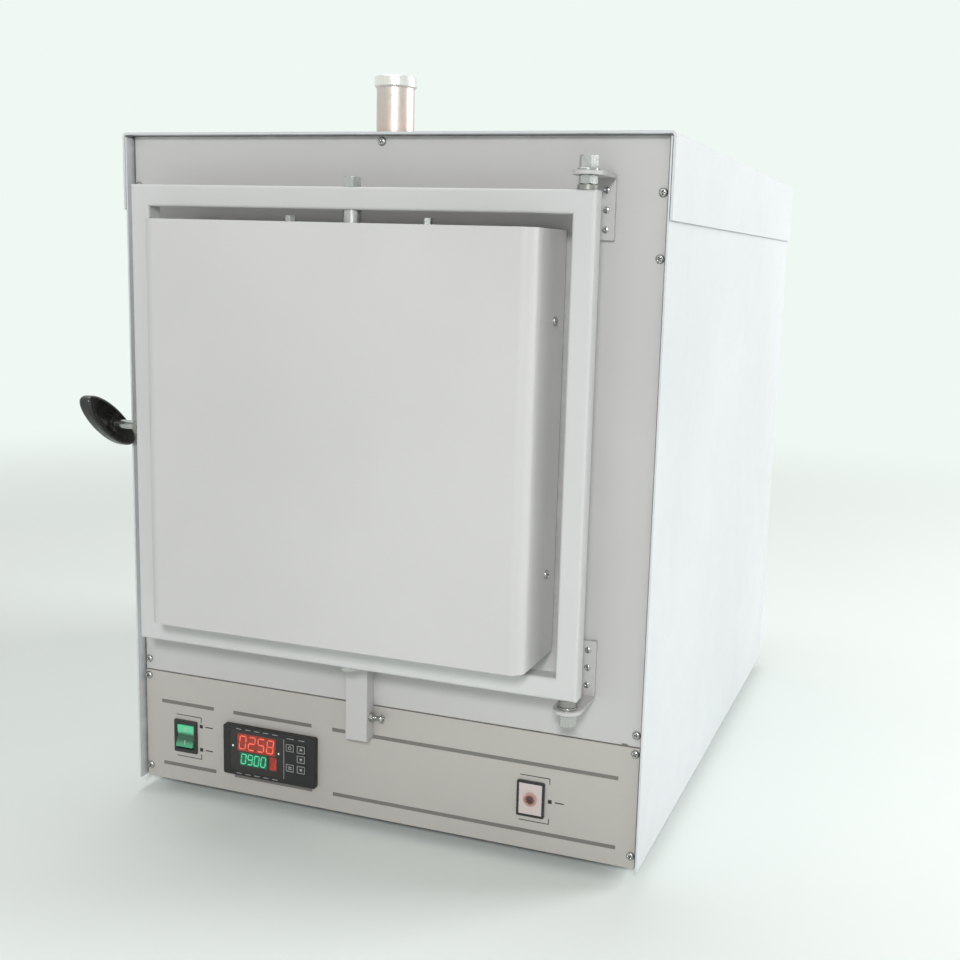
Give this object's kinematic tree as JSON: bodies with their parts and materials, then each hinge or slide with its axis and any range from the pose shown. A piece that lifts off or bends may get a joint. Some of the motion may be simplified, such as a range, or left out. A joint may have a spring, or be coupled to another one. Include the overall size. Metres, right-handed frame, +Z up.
{
  "type": "muffle furnace",
  "caption": "Laboratory muffle furnace: an insulated box with a side-hinged door in a tube frame, a turning latch, an exhaust pipe on top and a control panel below the chamber.",
  "frame": {"origin": "on the floor under the feet, below the middle of the casing", "axes": "+X to the right as seen from the front, +Y to the back, +Z up; the door faces -Y"},
  "size_m": [0.5001, 0.723, 0.659],
  "materials": {
    "shell_paint": "smooth off-white powder coat",
    "front_paint": "light grey powder coat",
    "panel_paint": "satin grey control panel",
    "door_paint": "light grey satin paint",
    "frame_paint": "light grey satin paint",
    "zinc_steel": "bright zinc plate",
    "plain_steel": "galvanised sheet",
    "pipe_steel": "heat-tinted steel",
    "collar_steel": "turned bright steel",
    "bush_steel": "turned steel",
    "sink_aluminium": "extruded, natural",
    "coil_wire": "oxidised resistance wire",
    "board_ceramic": "pressed refractory board",
    "hearth_ceramic": "fired plate",
    "bead_ceramic": "fired white",
    "wool": "mineral fibre",
    "seal_rope": "woven fibre rope",
    "rubber": "moulded, matt",
    "black_gloss": "moulded, glossy black",
    "black_matt": "moulded, matt black",
    "key_plastic": "moulded, dark grey",
    "window_plastic": "dark tinted window",
    "rocker_green": "translucent green",
    "lamp_white": "pale moulded face",
    "lamp_red": "clear red lens",
    "terminal_plastic": "moulded, ivory"
  },
  "bodies": {
    "casing": {"base_tray": "plain_steel", "left_side_panel": "shell_paint", "right_side_panel": "shell_paint", "top_hood": "shell_paint", "frame_angles": "plain_steel", "deck_plate": "plain_steel", "feet": "rubber", "front_plate": "front_paint", "control_panel": "panel_paint", "front_screws": "zinc_steel", "rear_panel": "shell_paint", "rear_screws": "zinc_steel", "mouth_ring": "board_ceramic", "chamber_boards": "board_ceramic", "chamber_back": "board_ceramic", "hearth_plate": "hearth_ceramic", "insulation_wool": "wool", "heater_coils": "coil_wire", "heater_beads": "bead_ceramic", "thermocouple": "bead_ceramic", "exhaust_pipe": "pipe_steel", "exhaust_collar": "collar_steel", "hinge_brackets": "front_paint", "hinge_bolts": "zinc_steel", "hinge_washers": "zinc_steel", "latch_keeper": "zinc_steel", "switch_cover": "front_paint", "door_switch": "black_matt", "controller_bezel": "black_matt", "controller_window": "window_plastic", "controller_case": "black_matt", "rocker_housing": "black_gloss", "lamp_bezel": "black_gloss", "lamp_face": "lamp_white", "lamp_lens": "lamp_red", "cable_gland": "black_matt", "heat_sink": "sink_aluminium", "relay": "black_matt", "terminal_block": "terminal_plastic"},
    "door_frame": {"door_frame": "frame_paint", "frame_bushes": "bush_steel", "pivot_bolts": "zinc_steel", "pivot_nuts": "zinc_steel"},
    "door_leaf": {"door_cover": "door_paint", "door_cover_screws": "zinc_steel", "door_back": "plain_steel", "door_insulation": "wool", "door_plug": "board_ceramic", "door_seal": "seal_rope", "pivot_blocks": "zinc_steel"},
    "latch": {"latch_shaft": "zinc_steel", "latch_hook": "zinc_steel", "latch_knob": "black_gloss"},
    "power_rocker": {"rocker": "rocker_green"},
    "switch_plunger": {"switch_plunger": "zinc_steel"},
    "key_1": {"key_1": "key_plastic"},
    "key_2": {"key_2": "key_plastic"},
    "key_3": {"key_3": "key_plastic"},
    "key_4": {"key_4": "key_plastic"},
    "key_5": {"key_5": "key_plastic"}
  },
  "joints": [
    {"name": "door_hinge", "type": "hinge", "parent": "casing", "child": "door_frame", "pos_m": [0.18875, -0.318, 0.364], "axis": [0, 0, 1], "range_deg": [0, 110]},
    {"name": "door_swivel", "type": "hinge", "parent": "door_frame", "child": "door_leaf", "pos_m": [-0.0075, -0.318, 0.364], "axis": [0, 0, 1], "range_deg": [-1, 1]},
    {"name": "latch_turn", "type": "hinge", "parent": "door_frame", "child": "latch", "pos_m": [-0.2, -0.318, 0.357], "axis": [1, 0, 0], "range_deg": [-50, 0]},
    {"name": "rocker_tilt", "type": "hinge", "parent": "casing", "child": "power_rocker", "pos_m": [-0.1975, -0.2785, 0.058], "axis": [1, 0, 0], "range_deg": [0, 16]},
    {"name": "plunger_slide", "type": "slide", "parent": "casing", "child": "switch_plunger", "axis": [0, 1, 0], "range_m": [0, 0.003], "stiffness_N_per_m": 200, "springref_m": -0.001},
    {"name": "key_1_press", "type": "slide", "parent": "casing", "child": "key_1", "axis": [0, 1, 0], "range_m": [0, 0.0005], "stiffness_N_per_m": 400},
    {"name": "key_2_press", "type": "slide", "parent": "casing", "child": "key_2", "axis": [0, 1, 0], "range_m": [0, 0.0005], "stiffness_N_per_m": 400},
    {"name": "key_3_press", "type": "slide", "parent": "casing", "child": "key_3", "axis": [0, 1, 0], "range_m": [0, 0.0005], "stiffness_N_per_m": 400},
    {"name": "key_4_press", "type": "slide", "parent": "casing", "child": "key_4", "axis": [0, 1, 0], "range_m": [0, 0.0005], "stiffness_N_per_m": 400},
    {"name": "key_5_press", "type": "slide", "parent": "casing", "child": "key_5", "axis": [0, 1, 0], "range_m": [0, 0.0005], "stiffness_N_per_m": 400}
  ]
}
